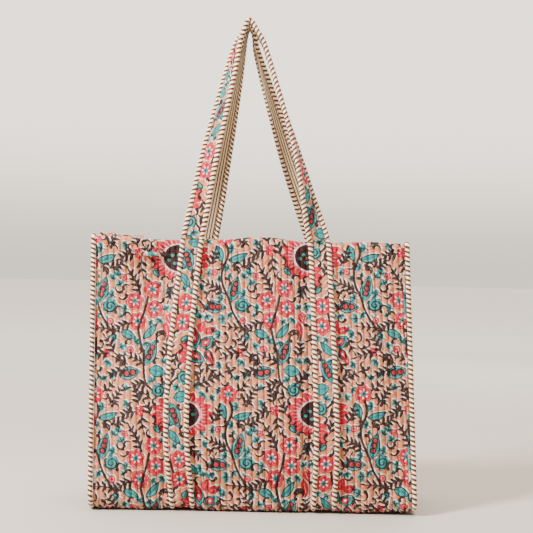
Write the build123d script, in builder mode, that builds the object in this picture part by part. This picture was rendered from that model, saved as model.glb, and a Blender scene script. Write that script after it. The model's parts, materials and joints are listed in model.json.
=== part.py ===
from build123d import *
import os
from math import asin, atan, atan2, cos, pi, radians, sin, sqrt, tan

# A quilted cotton knitting bag with two piped shoulder handles.
# Row frame: X runs along the bag's length, Y from front (-Y) to back, Z up. The origin is on the floor, under
# the middle of the base. Millimetres.

# The bag
BAG_HEIGHT = 388.0
BASE_HALF_LENGTH = 231.0
MOUTH_HALF_LENGTH = 221.0
BASE_HALF_DEPTH = 77.0
MOUTH_HALF_DEPTH = 42.0
BASE_CORNER_RADIUS = 26.0

# Cloth, wadding and piping
CLOTH = 0.8
BAG_WADDING = 3.2
PIPING_RADIUS = 3.2
CORD_RADIUS = 2.3
SEAM_INSET = 1.2  # of the side seams' pipings from the panels' outside
SEWN_GAP = 0.1

# The straps: a band is sewn down the front, under the base and up the back, and a handle is its free length
STRAP_PITCH = 30.0  # between the centres of a strap's two pipings
STRAP_X_BASE = 109.0
STRAP_X_MOUTH = 91.0
HANDLE_RISE = 320.0
HOOK_TURN_RADIUS = 9.0  # of a handle's middle line where it turns over a hook
HANDLES_APART = 2.0  # between the two handles on the hook
HANDLE_LINING_BACK = 2.5  # from the pipings' centres to the lining's outside
HANDLE_EASE = 0.9  # a handle's flat layers are this much narrower on each side than a band's
HANDLE_DIP = 1.2  # a handle's pipings leave the hinge at a slant, so the band's stop this far below

# The gusset folds inwards towards the mouth: share of the way up, and how far its middle is drawn in
GUSSET_FOLD = ((0.0, 1.0), (0.14, 10.0), (0.3, 24.0), (0.5, 39.0), (0.78, 54.0), (1.0, 63.0))
GUSSET_FOLD_ARC = 12.0  # length of cloth that rounds the fold
GUSSET_TRIM_X = 50.0  # well inside the innermost fold

# The mouth's facing
FACING_HEIGHT = 20.0
FACING_CLOTH = 0.7
FACING_STOP = 17.0  # how far short of the side seams its long strips end, against the gussets

# Stations along a handle, and how it turns edge-on between the mouth and the hook
LEG_STATIONS = 10
LEG_EASE = 0.1  # share of a leg over which it bends from upright to its lean
TURN_STATIONS = 7
FIRST_STATION = 16.0
RIGHT_TWIST_DONE = 0.6  # share of the right leg over which it turns; the left leg turns all the way up

PANEL = 2 * CLOTH + BAG_WADDING
TUBE_INSIDE = CORD_RADIUS + SEWN_GAP / 2
BASE_LEVEL = 2 * PIPING_RADIUS + SEWN_GAP  # underside of the base, which the bands carry off the floor
LEAN = atan((BASE_HALF_DEPTH - MOUTH_HALF_DEPTH) / (BAG_HEIGHT - BASE_LEVEL))
HINGE_LEVEL = BAG_HEIGHT + FACING_CLOTH + 0.5
BAND_TOP = HINGE_LEVEL - 0.3
PRINT_HALF_WIDTH = STRAP_PITCH / 2 - PIPING_RADIUS - SEWN_GAP
STRAP_HALF_WIDTH = STRAP_PITCH / 2 + PIPING_RADIUS
HINGE_Y = MOUTH_HALF_DEPTH + (SEWN_GAP + 2 * PIPING_RADIUS) / cos(LEAN) + SEWN_GAP
HANDLE_Y = HINGE_Y - PIPING_RADIUS  # middle of a handle's pipings at the hinge
HOOK_Y = STRAP_HALF_WIDTH + HANDLES_APART / 2
HOOK_LEVEL = HINGE_LEVEL + HANDLE_RISE - HOOK_TURN_RADIUS
FAR = 600.0


def half_depth(level):
    """The bag's half depth at a level, at the outside of its panels."""
    return MOUTH_HALF_DEPTH + (BAG_HEIGHT - level) * (BASE_HALF_DEPTH - MOUTH_HALF_DEPTH) / (
        BAG_HEIGHT - BASE_LEVEL
    )


def half_length(level):
    """The bag's half length at a level, at the side seams."""
    return BASE_HALF_LENGTH + (MOUTH_HALF_LENGTH - BASE_HALF_LENGTH) * level / BAG_HEIGHT


def strap_x(level):
    """How far from the middle a band's centre runs at a level."""
    return STRAP_X_BASE + (STRAP_X_MOUTH - STRAP_X_BASE) * level / BAG_HEIGHT


def body_edges(level):
    return -half_length(level), half_length(level)


def band_edges(level):
    return strap_x(level) - PRINT_HALF_WIDTH, strap_x(level) + PRINT_HALF_WIDTH


def seam_x(level):
    return half_length(level) + PIPING_RADIUS + SEWN_GAP


def inner_edge_x(level):
    return strap_x(level) - STRAP_PITCH / 2


def outer_edge_x(level):
    return strap_x(level) + STRAP_PITCH / 2


def side_outline(inset, top, stretch=1.0):
    """Corners of the U of front, base and back seen from the side, moved inwards by inset."""
    base = BASE_LEVEL + inset
    shift = inset / cos(LEAN)
    wide, narrow = half_depth(base) - shift, half_depth(top) - shift
    return [(-narrow, top * stretch), (-wide, base * stretch), (wide, base * stretch), (narrow, top * stretch)]


def wrap(outside, inside, edges, top=BAG_HEIGHT):
    """A layer that runs down the front, under the base and up the back, between two insets.

    edges(level) gives the x of its two side edges."""
    with BuildPart() as layer:
        with BuildSketch(Plane.YZ):
            with BuildLine():
                outer = FilletPolyline(*side_outline(outside, top), radius=BASE_CORNER_RADIUS - outside)
                inner = FilletPolyline(*side_outline(inside, top), radius=BASE_CORNER_RADIUS - inside)
                Line(outer @ 0, inner @ 0)
                Line(outer @ 1, inner @ 1)
            make_face()
        extrude(amount=FAR, both=True)
        low, high = -1.0, top + 1.0
        (low_left, low_right), (high_left, high_right) = edges(low), edges(high)
        with BuildSketch(Plane.XZ):
            Polygon((low_left, low), (low_right, low), (high_right, high), (high_left, high), align=None)
        extrude(amount=FAR, both=True, mode=Mode.INTERSECT)
    return layer.part


def leaning_plane(x_at):
    """A plane along Y that follows x_at(level), for a path that leans with the bag's side or with a band."""
    run = atan2(x_at(BAG_HEIGHT) - x_at(0), BAG_HEIGHT)
    return Plane(origin=(x_at(0), 0, 0), x_dir=(0, 1, 0), z_dir=(cos(run), 0, -sin(run))), 1 / cos(run)


def round_wrap(x_at, inset, top, outer_radius, inner_radius=0.0):
    """A round cord or tube that runs down the front, under the base and up the back."""
    plane, stretch = leaning_plane(x_at)
    with BuildPart() as cord:
        with BuildLine(plane) as route:
            FilletPolyline(*side_outline(inset, top, stretch), radius=BASE_CORNER_RADIUS - inset)
        with BuildSketch(Plane(origin=route.line @ 0, z_dir=route.line % 0)):
            Circle(outer_radius)
            if inner_radius:
                Circle(inner_radius, mode=Mode.SUBTRACT)
        sweep(path=route.line)
    return cord.part


def gusset_fold(share):
    for (low, low_fold), (high, high_fold) in zip(GUSSET_FOLD, GUSSET_FOLD[1:]):
        if share <= high:
            return low_fold + (high_fold - low_fold) * (share - low) / (high - low)
    return GUSSET_FOLD[-1][1]


def fold_line(level, inset):
    """Corner points, and the rounding, of the folded gusset's section, moved inwards by inset."""
    share = min(max((level - BASE_LEVEL) / (BAG_HEIGHT - BASE_LEVEL), 0.0), 1.0)
    fold, depth, seam = gusset_fold(share), half_depth(level), half_length(level)
    arm = sqrt(fold * fold + depth * depth)
    along_x, along_y = fold / arm, depth / arm
    middle = seam - fold - inset * arm / depth
    reach = arm + 8.0
    end = (middle + along_x * reach, along_y * reach)
    turn = 2 * atan2(fold, depth)
    return [(end[0], -end[1]), (middle, 0), end], GUSSET_FOLD_ARC / turn + inset


def gusset_layer(outside, inside, levels, clear=PANEL + 0.05, bottom=0.0):
    """A layer of the right gusset between two insets, trimmed to the panels it is sewn between."""
    with BuildPart() as layer:
        for level in levels:
            with BuildSketch(Plane.XY.offset(level)):
                with BuildLine():
                    points, radius = fold_line(level, outside)
                    outer = FilletPolyline(*points, radius=radius)
                    points, radius = fold_line(level, inside)
                    inner = FilletPolyline(*points, radius=radius)
                    Line(outer @ 0, inner @ 0)
                    Line(outer @ 1, inner @ 1)
                make_face()
        loft(ruled=True)
        with BuildSketch(Plane.YZ):
            with BuildLine():
                opening = FilletPolyline(*side_outline(clear, BAG_HEIGHT + 5), radius=BASE_CORNER_RADIUS - clear)
                Line(opening @ 0, opening @ 1)
            make_face()
        extrude(amount=FAR, mode=Mode.INTERSECT)
        low, high = bottom, BAG_HEIGHT + 6
        wide, narrow = half_length(low) - SEWN_GAP, half_length(high) - SEWN_GAP
        with BuildSketch(Plane.XZ):
            Polygon((GUSSET_TRIM_X, low), (wide, low), (narrow, high), (GUSSET_TRIM_X, high), align=None)
        extrude(amount=FAR, both=True, mode=Mode.INTERSECT)
    return layer.part


def facing_strip():
    """The facing on one long side: it caps the front panel's edge and turns down inside it."""
    inside = PANEL + FACING_CLOTH
    slant = (half_depth(BAG_HEIGHT - FACING_HEIGHT) - half_depth(BAG_HEIGHT)) / FACING_HEIGHT
    top = BAG_HEIGHT + FACING_CLOTH
    shift = 1 / cos(LEAN)
    out_y = -half_depth(BAG_HEIGHT)
    with BuildPart() as strip:
        with BuildSketch(Plane.YZ):
            Polygon(
                (out_y, BAG_HEIGHT),
                (out_y, top),
                (out_y + inside * shift, top),
                (out_y - FACING_HEIGHT * slant + inside * shift, BAG_HEIGHT - FACING_HEIGHT),
                (out_y - FACING_HEIGHT * slant + PANEL * shift, BAG_HEIGHT - FACING_HEIGHT),
                (out_y + PANEL * shift, BAG_HEIGHT),
                align=None,
            )
        extrude(amount=FAR, both=True)
        low, high = BAG_HEIGHT - 2 * FACING_HEIGHT, top + 1
        wide, narrow = half_length(low) - FACING_STOP, half_length(high) - FACING_STOP
        with BuildSketch(Plane.XZ):
            Polygon((-wide, low), (wide, low), (narrow, high), (-narrow, high), align=None)
        extrude(amount=FAR, both=True, mode=Mode.INTERSECT)
    return strip.part


def leg_slope():
    """Angle from upright at which a leg runs up to the hook, in radians."""
    reach = sqrt(STRAP_X_MOUTH**2 + (HOOK_LEVEL - HINGE_LEVEL) ** 2)
    return atan2(STRAP_X_MOUTH, HOOK_LEVEL - HINGE_LEVEL) - asin(HOOK_TURN_RADIUS / reach)


def leg_point(share):
    """Middle line of the front handle's right leg, from the hinge (0) to the hook's turn (1)."""
    slope = leg_slope()
    end_x = HOOK_TURN_RADIUS * cos(slope)
    end_z = HOOK_LEVEL + HOOK_TURN_RADIUS * sin(slope)
    # The leg leaves the hinge upright and then leans back in a straight line to the hook.
    ease = (sqrt(share**2 + LEG_EASE**2) - LEG_EASE) / (sqrt(1 + LEG_EASE**2) - LEG_EASE)
    return Vector(
        STRAP_X_MOUTH + (end_x - STRAP_X_MOUTH) * share,
        -HANDLE_Y + (HANDLE_Y - HOOK_Y) * ease,
        HINGE_LEVEL + (end_z - HINGE_LEVEL) * share,
    )


def station(centre, ahead, twist):
    """A plane across the front handle: x points to its inner edge, y out of its printed face."""
    front = Vector(0, -1, 0)
    front = (front - ahead * front.dot(ahead)).normalized()
    out = front * cos(radians(twist)) + ahead.cross(front) * sin(radians(twist))
    return Plane(origin=centre, x_dir=out.cross(ahead), z_dir=ahead)


def leg_stations(twist_at, left=False):
    """Stations up the right leg, or the same for the left leg, from the hinge to the hook's turn."""
    first = FIRST_STATION / HANDLE_RISE
    shares = [0.0] + [first + (1 - first) * i / (LEG_STATIONS - 2) for i in range(LEG_STATIONS - 1)]
    planes = []
    for share in shares:
        point = leg_point(share)
        ahead = Vector(0, 0, 1)
        if share:
            ahead = (leg_point(share + 0.001) - leg_point(share - 0.001)).normalized()
        if left:
            point = Vector(-point.X, point.Y, point.Z)
            ahead = Vector(ahead.X, -ahead.Y, -ahead.Z)
        planes.append(station(point, ahead, twist_at(share)))
    return planes


def right_twist(share):
    turned = min(1.0, share / RIGHT_TWIST_DONE)
    return 90 * turned * turned * (3 - 2 * turned)


def left_twist(share):
    return 90 * share


def turn_stations():
    """Stations over the hook, where the front handle stands edge-on."""
    slope = leg_slope()
    planes = []
    for i in range(1, TURN_STATIONS + 1):
        angle = slope + (pi - 2 * slope) * i / (TURN_STATIONS + 1)
        centre = Vector(HOOK_TURN_RADIUS * cos(angle), -HOOK_Y, HOOK_LEVEL + HOOK_TURN_RADIUS * sin(angle))
        planes.append(station(centre, Vector(-sin(angle), 0, cos(angle)), 90))
    return planes


def handle_layer(inside, outside):
    """A flat layer of the front handle between its pipings, from inside to outside of their centres."""
    with BuildPart() as layer:
        for place in leg_stations(right_twist) + turn_stations() + leg_stations(left_twist, left=True)[::-1]:
            with BuildSketch(place):
                with Locations((0, (inside + outside) / 2)):
                    Rectangle(2 * (PRINT_HALF_WIDTH - HANDLE_EASE), outside - inside)
        loft(ruled=True)
    return layer.part


def edge_route(side):
    """Corner points and radii of a piping's centre line along the front handle's inner or outer edge."""
    right = [p.origin + p.x_dir * side * STRAP_PITCH / 2 for p in leg_stations(right_twist)]
    left = [p.origin + p.x_dir * side * STRAP_PITCH / 2 for p in leg_stations(left_twist, left=True)]
    # Over the hook the line turns about two corners, level with the top of the turn.
    top = HOOK_LEVEL + HOOK_TURN_RADIUS
    corner_x = HOOK_TURN_RADIUS * (1 - sin(leg_slope())) / cos(leg_slope())
    corners = [Vector(x, right[-1].Y, top) for x in (corner_x, -corner_x)]
    points = right[:-1] + corners + left[-2::-1]
    radii = []
    for before, at, after in zip(points, points[1:], points[2:]):
        shorter = min((at - before).length, (after - at).length)
        turn = radians((at - before).get_angle(after - at))
        radii.append(0.45 * shorter / tan(turn / 2))
    radii[len(right) - 2] = radii[len(right) - 1] = HOOK_TURN_RADIUS
    return points, radii


def handle_round(side, outer_radius, inner_radius=0.0):
    """A round cord or tube along the front handle's inner (1) or outer (-1) edge."""
    points, radii = edge_route(side)
    with BuildPart() as cord:
        with BuildLine() as route:
            FilletPolyline(*points, radius=radii)
        with BuildSketch(Plane(origin=route.line @ 0, z_dir=route.line % 0)):
            Circle(outer_radius)
            if inner_radius:
                Circle(inner_radius, mode=Mode.SUBTRACT)
        sweep(path=route.line)
    return cord.part


pieces = {}

# Body: front, base and back are one long quilted strip of three layers
pieces["body_print"] = wrap(0, CLOTH, body_edges)
pieces["body_wadding"] = wrap(CLOTH, PANEL - CLOTH, body_edges)
pieces["body_lining"] = wrap(PANEL - CLOTH, PANEL, body_edges)

# Gussets: the same three layers, folded inwards towards the mouth
gusset_levels = [BASE_LEVEL + share * (BAG_HEIGHT - BASE_LEVEL) for share, fold in GUSSET_FOLD]
gusset = {
    "print": gusset_layer(0, CLOTH, gusset_levels),
    "wadding": gusset_layer(CLOTH, PANEL - CLOTH, gusset_levels),
    "lining": gusset_layer(PANEL - CLOTH, PANEL, gusset_levels),
}
for layer, shape in gusset.items():
    pieces[f"right_gusset_{layer}"] = shape
    pieces[f"left_gusset_{layer}"] = mirror(shape, about=Plane.YZ)

# Facing: one strip round the mouth, over the edge and down inside
facing_inset = PANEL + FACING_CLOTH
facing_bottom = BAG_HEIGHT - FACING_HEIGHT
cap_levels = (BAG_HEIGHT, BAG_HEIGHT + FACING_CLOTH)
long_side = facing_strip()
short_side = gusset_layer(PANEL, facing_inset, gusset_levels[-2:], facing_inset, facing_bottom)
short_cap = gusset_layer(0, facing_inset, cap_levels, facing_inset, facing_bottom)
with BuildPart() as facing:
    add(long_side)
    add(mirror(long_side, about=Plane.XZ))
    for half in (short_side, short_cap):
        add(half)
        add(mirror(half, about=Plane.YZ))
pieces["mouth_facing"] = facing.part

# Seam pipings: a striped tube over a cotton cord, round three sides of each gusset
seam_top = BAG_HEIGHT - 1
seam_piping = round_wrap(seam_x, SEAM_INSET, seam_top, PIPING_RADIUS, TUBE_INSIDE)
seam_cord = round_wrap(seam_x, SEAM_INSET, seam_top, CORD_RADIUS)
pieces["right_seam_piping"] = seam_piping
pieces["right_seam_cord"] = seam_cord
pieces["left_seam_piping"] = mirror(seam_piping, about=Plane.YZ)
pieces["left_seam_cord"] = mirror(seam_cord, about=Plane.YZ)

# Bands: the sewn length of each strap, with a piping along both edges
band_inside, band_outside = -SEWN_GAP, -SEWN_GAP - 2 * PIPING_RADIUS
band_middle = -SEWN_GAP - PIPING_RADIUS
band_piping_top = BAND_TOP - HANDLE_DIP
band = {
    "print": wrap(band_outside, band_outside + CLOTH, band_edges, BAND_TOP),
    "wadding": wrap(band_outside + CLOTH, band_inside - CLOTH, band_edges, BAND_TOP),
    "lining": wrap(band_inside - CLOTH, band_inside, band_edges, BAND_TOP),
}
for edge, edge_x in (("inner", inner_edge_x), ("outer", outer_edge_x)):
    band[f"{edge}_piping"] = round_wrap(edge_x, band_middle, band_piping_top, PIPING_RADIUS, TUBE_INSIDE)
    band[f"{edge}_cord"] = round_wrap(edge_x, band_middle, band_piping_top, CORD_RADIUS)
for layer, shape in band.items():
    pieces[f"right_band_{layer}"] = shape
    pieces[f"left_band_{layer}"] = mirror(shape, about=Plane.YZ)

# Handles: the free length of each strap, up from the mouth and over a hook
print_inside = PIPING_RADIUS - CLOTH
lining_outside = -HANDLE_LINING_BACK + CLOTH
handle = {
    "print": handle_layer(print_inside, PIPING_RADIUS),
    "wadding": handle_layer(lining_outside, print_inside),
    "lining": handle_layer(-HANDLE_LINING_BACK, lining_outside),
}
for edge, side in (("inner", 1), ("outer", -1)):
    handle[f"{edge}_piping"] = handle_round(side, PIPING_RADIUS, TUBE_INSIDE)
    handle[f"{edge}_cord"] = handle_round(side, CORD_RADIUS)
for layer, shape in handle.items():
    pieces[f"front_handle_{layer}"] = shape
    pieces[f"back_handle_{layer}"] = mirror(shape, about=Plane.XZ)

os.makedirs("parts", exist_ok=True)
for name, shape in pieces.items():
    shape.label = name
    export_step(shape, f"parts/{name}.step")
print("hinge line at y", round(HINGE_Y, 3), "z", round(HINGE_LEVEL, 3))
for side in (1, -1):
    print("piping radii", [round(radius, 1) for radius in edge_route(side)[1]])
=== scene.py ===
import json
from math import atan2, cos, pi, radians, sin, sqrt, tan

import bpy
import numpy as np
from mathutils import Matrix, Vector


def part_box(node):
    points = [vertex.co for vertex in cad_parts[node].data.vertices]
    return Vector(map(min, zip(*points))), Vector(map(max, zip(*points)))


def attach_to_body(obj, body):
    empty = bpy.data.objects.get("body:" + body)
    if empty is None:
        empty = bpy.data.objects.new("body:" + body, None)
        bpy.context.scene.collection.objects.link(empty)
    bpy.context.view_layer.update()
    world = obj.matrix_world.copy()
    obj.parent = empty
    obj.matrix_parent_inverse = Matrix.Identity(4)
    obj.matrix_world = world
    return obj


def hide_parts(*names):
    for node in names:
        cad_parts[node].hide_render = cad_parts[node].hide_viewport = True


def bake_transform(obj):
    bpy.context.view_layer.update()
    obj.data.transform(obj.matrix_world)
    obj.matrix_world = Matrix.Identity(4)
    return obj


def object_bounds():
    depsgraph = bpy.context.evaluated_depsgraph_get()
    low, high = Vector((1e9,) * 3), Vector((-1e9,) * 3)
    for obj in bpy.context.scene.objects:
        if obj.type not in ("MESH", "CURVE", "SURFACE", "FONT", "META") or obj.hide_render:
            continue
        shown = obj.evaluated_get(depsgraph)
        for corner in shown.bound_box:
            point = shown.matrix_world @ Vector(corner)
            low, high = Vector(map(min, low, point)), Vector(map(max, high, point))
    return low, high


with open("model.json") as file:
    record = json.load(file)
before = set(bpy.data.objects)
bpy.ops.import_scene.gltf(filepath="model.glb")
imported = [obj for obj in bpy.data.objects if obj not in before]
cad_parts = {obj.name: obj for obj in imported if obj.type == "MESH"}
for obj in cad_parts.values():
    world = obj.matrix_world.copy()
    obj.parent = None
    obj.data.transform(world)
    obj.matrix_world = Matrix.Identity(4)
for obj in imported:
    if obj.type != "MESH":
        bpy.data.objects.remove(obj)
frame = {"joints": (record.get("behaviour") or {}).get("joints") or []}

# A quilted block-print cotton bag with striped piping and two long strap handles.
# Shapes are in metres. The print's tile is laid out in millimetres of cloth, with y running down the cloth.

CAD_BOX = [[float(value) for value in corner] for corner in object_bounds()]
MM = 0.001

# The bag's shell, with its levels, length and hinges from the CAD model
MOUTH_LEVEL = float(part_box("body_print")[1][2])
BASE_LEVEL = float(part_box("body_print")[0][2])
BASE_HALF_LENGTH = float(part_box("body_print")[1][0])
MOUTH_HALF_LENGTH = BASE_HALF_LENGTH - 5 * MM
BASE_FLARE = 3 * MM  # how much longer the hanging bag's base is than its mouth, to either side
MOUTH_HALF_DEPTH = 42 * MM
BASE_HALF_DEPTH = 77 * MM
CORNER_RADIUS = 20 * MM  # between front or back and base
HINGE = {joint["child"]: [float(value) for value in joint["pos_m"]] for joint in frame["joints"]}
HINGE_LEVEL = HINGE["front_handle"][2]
HINGE_Y = abs(HINGE["front_handle"][1])
APEX_LEVEL = float(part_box("front_handle_print")[1][2]) + 4 * MM
LEAN = atan2(BASE_HALF_DEPTH - MOUTH_HALF_DEPTH, MOUTH_LEVEL - BASE_LEVEL)

# How the empty bag hangs: it leans to its left and its handles lean a little further
LEAN_LEFT_MOUTH = 11 * MM
LEAN_LEFT_APEX = 19 * MM

# How far its front and back hang out of their planes, and the base out of its level
BELLY = 13 * MM
BELLY_LOW = 1.55  # above 1, the belly is below half height
FOLD_DEPTH = 2.8 * MM
FOLD_SIZE = (110 * MM, 420 * MM)  # across and along
TUCK = 10 * MM  # how far both are drawn in above the base
SEAM_TUCK = 4.5 * MM  # how far both are drawn in along the side seams
HOLLOW_X = -128 * MM  # a hollow under the front's mouth
HOLLOW_DEPTH = 15 * MM
HOLLOW_REACH = (62 * MM, 14 * MM)  # to its left and to its right
BASE_DROP = (4.2 * MM, 1.5 * MM)  # how far the base hangs down between the straps, and at its right end

# How far the middle of each gusset is folded in: (share of its height, mm)
GUSSET_FOLDS = ((0.0, 2.0), (0.14, 10.0), (0.3, 24.0), (0.5, 39.0), (0.78, 53.0), (1.0, 61.0))
FOLD_SOFTNESS = 0.22  # how round a gusset's folds are, as a share of its half depth

# Quilting
RIB_PITCH = 9.2 * MM
RIB_HEIGHT = 2.3 * MM
STITCH_PITCH = 4.4 * MM
PUCKER = 0.6 * MM
STITCH_DEPTH = 0.25 * MM

# Cloth layers, measured inwards from the outer face
WALL = 4.2 * MM
RIM_RADIUS = 2.7 * MM
FACING_DEPTH = 22 * MM
LINING_INSET = 4.6 * MM
LINING_CLOTH = 0.3 * MM
HEM_STITCHES = 9 * MM  # below the mouth
GUSSET_HALF_CLOTH = 78 * MM  # half the width of a gusset laid flat

# Piping
PIPING_WIDTH = 4.1 * MM  # half the width of a piping
SEWN_PIPING_WIDTH = 3.5 * MM  # the same in the side seams and where a strap is sewn down
PIPING_HEIGHT = 3.3 * MM
STRIPE_PITCH = 6.8  # of its striped cloth, in mm
STRIPE_SLOPE = 0.36
TUBE_SIDES = 16
PIPING_STEP = 1.4 * MM

# Straps, by (face, side): face -1 front, 1 back; side -1 left, 1 right
STRAP_PLACES = {  # a strap's middle at the mouth, where it is sewn furthest out, and at the base, in mm
    (-1, -1): (-87, -109, -102),
    (-1, 1): (103, 108, 103),
    (1, -1): (-70, -106, -106),
    (1, 1): (104, 110, 108),
}
# Hollows beside the straps, by side: how far off the strap's middle, how deep and how wide, in mm
STRAP_DIPS = {-1: ((23, 4.0, 8), (-22, 2.0, 8)), 1: ((23, 2.4, 8), (-22, 8.0, 14))}
STRAP_PRINT_START = {-1: (48.0, 183.0), 1: (20.0, 130.0)}  # place in the print's tile, by face, in mm
STRAP_RIB_HEIGHT = 1.3 * MM
STRAP_SEED = 83
STRAP_LINING_HALF = 13.0  # in mm

# Handles
TURN_RADIUS = 6 * MM  # of the turn over the hook
HOOK_Y = 19.2 * MM  # how far each handle passes the hook to the front or back
TWIST_AT = (0.0, 0.2, 0.4, 0.6, 0.8, 0.93, 1.0)  # shares of the leg's length
FRONT_TWIST = {-1: (0, 24, 34, 46, 58, 74, 90), 1: (8, 52, 76, 88, 90, 90, 90)}  # degrees, by side
BACK_TWIST = {-1: (0, 24, 38, 50, 66, 80, 90), 1: (0, 24, 40, 54, 72, 84, 90)}
BOW = {(-1, -1): 5.0, (-1, 1): 7.5, (1, -1): 0.5, (1, 1): -5.0}  # how far each leg bends outwards, in mm
FOOT_EASE = 0.1  # share of the leg over which it leaves the bag's plane

# One repeat of the print in mm of cloth. It runs across the front a little turned.
TILE = (195.5, 224.5)
CELL = 0.5
PRINT_TURN = radians(1.2)
INK_LIMIT = 4.0
LEAFLET_PITCH = 9.4
INK_SPREAD = 0.12  # how far the brown runs beyond its block
HALO_SPREAD = 0.15  # how far the pale rim reaches beyond the inks
HALO_SHIFT = (1.0, -1.0)  # and how far it is shifted, so that it shows on the right and above

# Meshes
COARSE = 4  # how many spans of a layer's outer face share one of its inner face

# Lights: place, size and power
LIGHTS = {
    "key": ((-1.8, -1.35, 2.1), 0.5, 224),
    "top": ((0.2, -0.3, 2.2), 1.0, 30),
    "back": ((0.9, 2.0, 1.4), 1.5, 20),
}
LIGHTS_AIM = (0, 0, 0.33)

# Camera, at the photograph's angle
CAMERA_FIELD = 0.763  # width of the view, as seen from CAMERA_DISTANCE
CAMERA_DISTANCE = 1.5
CAMERA_X = 0.0131
CAMERA_Z = 0.353
CAMERA_ROLL = 1.1
FRONT_Y = -0.068  # middle of the front panel


# ---- The print: distances to each colour's outline over one tile, negative inside

tile_u, tile_v = np.meshgrid(np.arange(0, TILE[0], CELL), np.arange(0, TILE[1], CELL))
INKS = ("halo", "teal", "coral", "pale", "teal_top", "brown")
OVERPRINTS = ("coral_top", "brown_top", "teal_over")
ink = {name: np.full(tile_u.shape, INK_LIMIT * 3) for name in INKS + OVERPRINTS}


def stamp(name, distance):
    ink[name] = np.minimum(ink[name], distance)


def on_tile(x, y):
    """Tile coordinates of a place on the front, given in mm from the middle of its mouth."""
    c, s = cos(PRINT_TURN), sin(PRINT_TURN)
    return x * c - y * s, x * s + y * c


def off_tile(u, v):
    """The place on the front of given tile coordinates."""
    c, s = cos(PRINT_TURN), sin(PRINT_TURN)
    return u * c + v * s, v * c - u * s


def around(x, y, angle=0.0):
    """Coordinates about a place on the front, wherever it repeats, turned clockwise by angle degrees."""
    u, v = on_tile(x, y)
    du = (tile_u - u + TILE[0] / 2) % TILE[0] - TILE[0] / 2
    dv = (tile_v - v + TILE[1] / 2) % TILE[1] - TILE[1] / 2
    c, s = cos(radians(angle) - PRINT_TURN), sin(radians(angle) - PRINT_TURN)
    return du * c + dv * s, dv * c - du * s


def oval(x, y, half_long, half_wide):
    return (np.hypot(x / half_long, y / half_wide) - 1) * min(half_long, half_wide)


def leaf(x, y, half_long, half_wide, bend=0.0):
    """A leaf along x, pointed at both ends and widest nearer its root."""
    t = np.clip(x / half_long, -1.2, 1.2)
    spine = bend * (1 - t * t)
    outline = np.abs(y - spine) - half_wide * (1 - t * t) * (1 - 0.25 * t)
    return np.maximum(outline, np.abs(x) - half_long) * 0.85


def rosette(x, y, radius, petals, notch, turn):
    """A flower outline: round petals, with a notch between each two."""
    angle = np.arctan2(y, x) + radians(turn)
    wave = np.abs(np.cos(angle * petals / 2))
    return np.hypot(x, y) - radius * (1 - notch + notch * wave**0.6)


def stroke(points, half_wide, taper=0.0):
    """A brush stroke through places on the front, optionally thinner towards its end."""
    best = np.full(tile_u.shape, INK_LIMIT * 3)
    spans = len(points) - 1
    for i, (start, end) in enumerate(zip(points, points[1:])):
        x, y = around(*start)
        run = (end[0] - start[0], end[1] - start[1])
        share = np.clip((x * run[0] + y * run[1]) / (run[0] ** 2 + run[1] ** 2), 0, 1)
        wide = half_wide * (1 - taper * (i + share) / spans)
        best = np.minimum(best, np.hypot(x - share * run[0], y - share * run[1]) - wide)
    return best


def rounded(points):
    """Places along a smooth curve through the given ones."""
    points = np.asarray([points[0], *points, points[-1]], float)
    curve = []
    for before, start, end, after in zip(points, points[1:], points[2:], points[3:]):
        for t in (0, 0.25, 0.5, 0.75):
            bend = (end - before) * t + (2 * before - 5 * start + 4 * end - after) * t**2
            curve.append(start + (bend + (3 * start - before - 3 * end + after) * t**3) / 2)
    return [tuple(place) for place in curve] + [tuple(points[-1])]


def outlined(name, distance, line):
    """A shape in one ink with a brown line round it."""
    stamp(name, distance)
    stamp("brown", np.abs(distance + line / 2) - line / 2)


def cluster_flower(x, y, turn):
    """A coral flower with pale petals inside it and a teal eye."""
    radius, petals = 13.6, 6
    u, v = around(x, y)
    stamp("coral", rosette(u, v, radius, petals, 0.22, turn))
    reach = np.hypot(u, v)
    stamp("coral", reach - radius * 0.62)
    petal = np.abs(np.cos((np.arctan2(v, u) + radians(turn)) * petals / 2))
    stamp("pale", np.maximum(reach - radius * (0.2 + 0.4 * petal**3.4), radius * 0.2 - reach))
    stamp("pale", np.maximum(np.abs(reach - radius * 0.84 * (0.8 + 0.2 * petal)) - 0.3, 0.6 - petal))
    stamp("teal_top", reach - radius * 0.27)
    stamp("brown", np.abs(reach - radius * 0.27) - 0.3)
    stamp("brown", reach - radius * 0.1)


def bud(x, y, radius, leaf_angle):
    """A round coral bud with two small teal leaves."""
    u, v = around(x, y)
    stamp("coral", np.hypot(u, v) - radius)
    stamp("pale", np.abs(np.hypot(u, v) - radius * 0.5) - 0.4)
    for spread in (-30, 30):
        u, v = around(x, y, leaf_angle + spread)
        stamp("teal", leaf(u - radius - 2.6, v, 4.2, 1.9))


def pod(x, y, half_long, half_wide, angle, dots):
    """A teal pod with a scalloped edge and coral seeds, each seed in a brown ring."""
    u, v = around(x, y, angle)
    outer = leaf(u, v, half_long, half_wide) + 0.6 * np.abs(np.sin(u * 1.05))
    outlined("teal", outer, 1.1)
    inner = leaf(u, v, half_long * 0.78, half_wide * 0.5)
    stamp("brown", np.maximum(np.abs(inner) - 0.45, np.sin(u * 2.4) * 0.8 - 0.5))
    stamp("pale", np.maximum(np.abs(outer + 2.0) - 0.35, np.sin(u * 2.1) * 0.8 - 0.1))
    for i in range(dots):
        along = (i - (dots - 1) / 2) * half_long * 1.05 / dots
        size = half_wide * (0.28 if dots > 2 else 0.34)
        stamp("brown", np.hypot(u - along, v) - size - 1.6)
        stamp("coral_top", np.hypot(u - along, v) - size)
        stamp("brown_top", np.hypot(u - along, v) - 0.65)


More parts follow.
